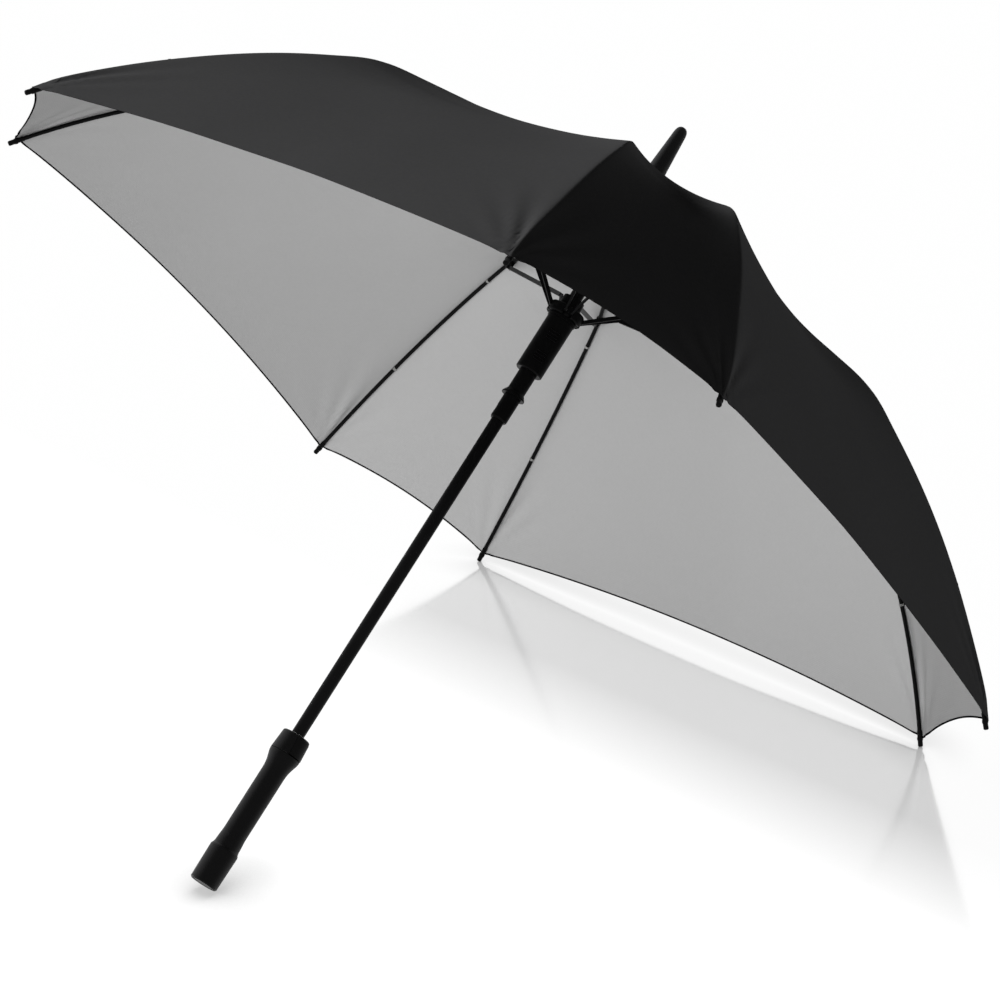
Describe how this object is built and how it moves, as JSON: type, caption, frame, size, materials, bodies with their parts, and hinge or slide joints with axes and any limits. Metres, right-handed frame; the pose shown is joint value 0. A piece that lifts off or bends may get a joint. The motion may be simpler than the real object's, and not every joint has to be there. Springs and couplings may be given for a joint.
{
  "type": "stick umbrella",
  "caption": "Open square-canopy stick umbrella, black outside and silver-grey inside, with ribs in close corner pairs, a tubular shaft, a sliding runner and a straight push-button handle.",
  "frame": {"origin": "centre of the handle's flat end face", "axes": "+Z along the shaft towards the ferrule, +X towards the middle of one of the four narrow panels"},
  "size_m": [1.1572, 1.1572, 0.935],
  "materials": {
    "canopy": "woven polyester, matte black outside and silver-grey coated inside",
    "rib": "black glass-fibre rod, satin",
    "bracket": "black moulded nylon",
    "tip_cap": "black moulded nylon",
    "stretcher": "black coated folded steel",
    "shaft": "black coated steel tube, satin",
    "ferrule": "black moulded nylon",
    "crown": "black moulded nylon",
    "washer": "black moulded nylon",
    "core": "dark grey moulded plastic",
    "grip": "black soft-touch coating",
    "collar": "black soft-touch coating",
    "end_disc": "grey satin plastic",
    "button": "black satin plastic",
    "runner": "black moulded nylon",
    "spring": "drawn spring wire",
    "steel_wire": "plain steel"
  },
  "bodies": {
    "frame": {"shaft_tube": "shaft", "ferrule": "ferrule", "crown_notch": "crown", "crown_wire": "steel_wire", "crown_pin": "steel_wire", "canopy_washer": "washer", "handle_core": "core", "handle_grip": "grip", "handle_collar": "collar", "handle_end_disc": "end_disc", "opening_spring": "spring", "spring_seat": "core", "button_spring": "spring"},
    "runner": {"runner_head": "runner", "runner_sleeve": "runner", "runner_wire": "steel_wire", "drive_plunger": "core", "drive_pin": "steel_wire"},
    "button": {"push_button": "button", "catch_plate": "steel_wire"},
    "rib_1": {"rib_1": "rib", "bracket_1": "bracket", "tip_cap_1": "tip_cap", "canopy_1": "canopy"},
    "stretcher_1": {"stretcher_1": "stretcher"},
    "rib_2": {"rib_2": "rib", "bracket_2": "bracket", "tip_cap_2": "tip_cap", "canopy_2": "canopy"},
    "stretcher_2": {"stretcher_2": "stretcher"},
    "rib_3": {"rib_3": "rib", "bracket_3": "bracket", "tip_cap_3": "tip_cap", "canopy_3": "canopy"},
    "stretcher_3": {"stretcher_3": "stretcher"},
    "rib_4": {"rib_4": "rib", "bracket_4": "bracket", "tip_cap_4": "tip_cap", "canopy_4": "canopy"},
    "stretcher_4": {"stretcher_4": "stretcher"},
    "rib_5": {"rib_5": "rib", "bracket_5": "bracket", "tip_cap_5": "tip_cap", "canopy_5": "canopy"},
    "stretcher_5": {"stretcher_5": "stretcher"},
    "rib_6": {"rib_6": "rib", "bracket_6": "bracket", "tip_cap_6": "tip_cap", "canopy_6": "canopy"},
    "stretcher_6": {"stretcher_6": "stretcher"},
    "rib_7": {"rib_7": "rib", "bracket_7": "bracket", "tip_cap_7": "tip_cap", "canopy_7": "canopy"},
    "stretcher_7": {"stretcher_7": "stretcher"},
    "rib_8": {"rib_8": "rib", "bracket_8": "bracket", "tip_cap_8": "tip_cap", "canopy_8": "canopy"},
    "stretcher_8": {"stretcher_8": "stretcher"}
  },
  "joints": [
    {"name": "runner_slide", "type": "slide", "parent": "frame", "child": "runner", "axis": [0, 0, -1], "range_m": [0, 0.4152], "stiffness_N_per_m": 60, "springref_m": -0.25, "deforming": ["opening_spring", "canopy_1", "canopy_2", "canopy_3", "canopy_4", "canopy_5", "canopy_6", "canopy_7", "canopy_8"]},
    {"name": "button_slide", "type": "slide", "parent": "frame", "child": "button", "axis": [-0.7071, 0.7071, 0], "range_m": [0, 0.0025], "stiffness_N_per_m": 1500, "springref_m": -0.002, "deforming": ["button_spring"]},
    {"name": "rib_1_hinge", "type": "hinge", "parent": "frame", "child": "rib_1", "pos_m": [0.01177, -0.00233, 0.8475], "axis": [0.1942, 0.981, 0], "range_deg": [0, 61.5]},
    {"name": "rib_2_hinge", "type": "hinge", "parent": "frame", "child": "rib_2", "pos_m": [0.01177, 0.00233, 0.8475], "axis": [-0.1942, 0.981, 0], "range_deg": [0, 61.5]},
    {"name": "rib_3_hinge", "type": "hinge", "parent": "frame", "child": "rib_3", "pos_m": [0.00233, 0.01177, 0.8475], "axis": [-0.981, 0.1942, 0], "range_deg": [0, 61.5]},
    {"name": "rib_4_hinge", "type": "hinge", "parent": "frame", "child": "rib_4", "pos_m": [-0.00233, 0.01177, 0.8475], "axis": [-0.981, -0.1942, 0], "range_deg": [0, 61.5]},
    {"name": "rib_5_hinge", "type": "hinge", "parent": "frame", "child": "rib_5", "pos_m": [-0.01177, 0.00233, 0.8475], "axis": [-0.1942, -0.981, 0], "range_deg": [0, 61.5]},
    {"name": "rib_6_hinge", "type": "hinge", "parent": "frame", "child": "rib_6", "pos_m": [-0.01177, -0.00233, 0.8475], "axis": [0.1942, -0.981, 0], "range_deg": [0, 61.5]},
    {"name": "rib_7_hinge", "type": "hinge", "parent": "frame", "child": "rib_7", "pos_m": [-0.00233, -0.01177, 0.8475], "axis": [0.981, -0.1942, 0], "range_deg": [0, 61.5]},
    {"name": "rib_8_hinge", "type": "hinge", "parent": "frame", "child": "rib_8", "pos_m": [0.00233, -0.01177, 0.8475], "axis": [0.981, 0.1942, 0], "range_deg": [0, 61.5]},
    {"name": "stretcher_1_hinge", "type": "hinge", "parent": "rib_1", "child": "stretcher_1", "pos_m": [0.29316, -0.05805, 0.78461], "axis": [0.1942, 0.981, 0], "range_deg": [-119.11, 0]},
    {"name": "stretcher_2_hinge", "type": "hinge", "parent": "rib_2", "child": "stretcher_2", "pos_m": [0.29316, 0.05805, 0.78461], "axis": [-0.1942, 0.981, 0], "range_deg": [-119.11, 0]},
    {"name": "stretcher_3_hinge", "type": "hinge", "parent": "rib_3", "child": "stretcher_3", "pos_m": [0.05805, 0.29316, 0.78461], "axis": [-0.981, 0.1942, 0], "range_deg": [-119.11, 0]},
    {"name": "stretcher_4_hinge", "type": "hinge", "parent": "rib_4", "child": "stretcher_4", "pos_m": [-0.05805, 0.29316, 0.78461], "axis": [-0.981, -0.1942, 0], "range_deg": [-119.11, 0]},
    {"name": "stretcher_5_hinge", "type": "hinge", "parent": "rib_5", "child": "stretcher_5", "pos_m": [-0.29316, 0.05805, 0.78461], "axis": [-0.1942, -0.981, 0], "range_deg": [-119.11, 0]},
    {"name": "stretcher_6_hinge", "type": "hinge", "parent": "rib_6", "child": "stretcher_6", "pos_m": [-0.29316, -0.05805, 0.78461], "axis": [0.1942, -0.981, 0], "range_deg": [-119.11, 0]},
    {"name": "stretcher_7_hinge", "type": "hinge", "parent": "rib_7", "child": "stretcher_7", "pos_m": [-0.05805, -0.29316, 0.78461], "axis": [0.981, -0.1942, 0], "range_deg": [-119.11, 0]},
    {"name": "stretcher_8_hinge", "type": "hinge", "parent": "rib_8", "child": "stretcher_8", "pos_m": [0.05805, -0.29316, 0.78461], "axis": [0.981, 0.1942, 0], "range_deg": [-119.11, 0]}
  ],
  "couplings": [
    {"joint": "rib_1_hinge", "follows": "runner_slide", "rad_per_m": 2.5849},
    {"joint": "rib_2_hinge", "follows": "runner_slide", "rad_per_m": 2.5849},
    {"joint": "rib_3_hinge", "follows": "runner_slide", "rad_per_m": 2.5849},
    {"joint": "rib_4_hinge", "follows": "runner_slide", "rad_per_m": 2.5849},
    {"joint": "rib_5_hinge", "follows": "runner_slide", "rad_per_m": 2.5849},
    {"joint": "rib_6_hinge", "follows": "runner_slide", "rad_per_m": 2.5849},
    {"joint": "rib_7_hinge", "follows": "runner_slide", "rad_per_m": 2.5849},
    {"joint": "rib_8_hinge", "follows": "runner_slide", "rad_per_m": 2.5849},
    {"joint": "stretcher_1_hinge", "follows": "runner_slide", "rad_per_m": -5.0064},
    {"joint": "stretcher_2_hinge", "follows": "runner_slide", "rad_per_m": -5.0064},
    {"joint": "stretcher_3_hinge", "follows": "runner_slide", "rad_per_m": -5.0064},
    {"joint": "stretcher_4_hinge", "follows": "runner_slide", "rad_per_m": -5.0064},
    {"joint": "stretcher_5_hinge", "follows": "runner_slide", "rad_per_m": -5.0064},
    {"joint": "stretcher_6_hinge", "follows": "runner_slide", "rad_per_m": -5.0064},
    {"joint": "stretcher_7_hinge", "follows": "runner_slide", "rad_per_m": -5.0064},
    {"joint": "stretcher_8_hinge", "follows": "runner_slide", "rad_per_m": -5.0064}
  ]
}
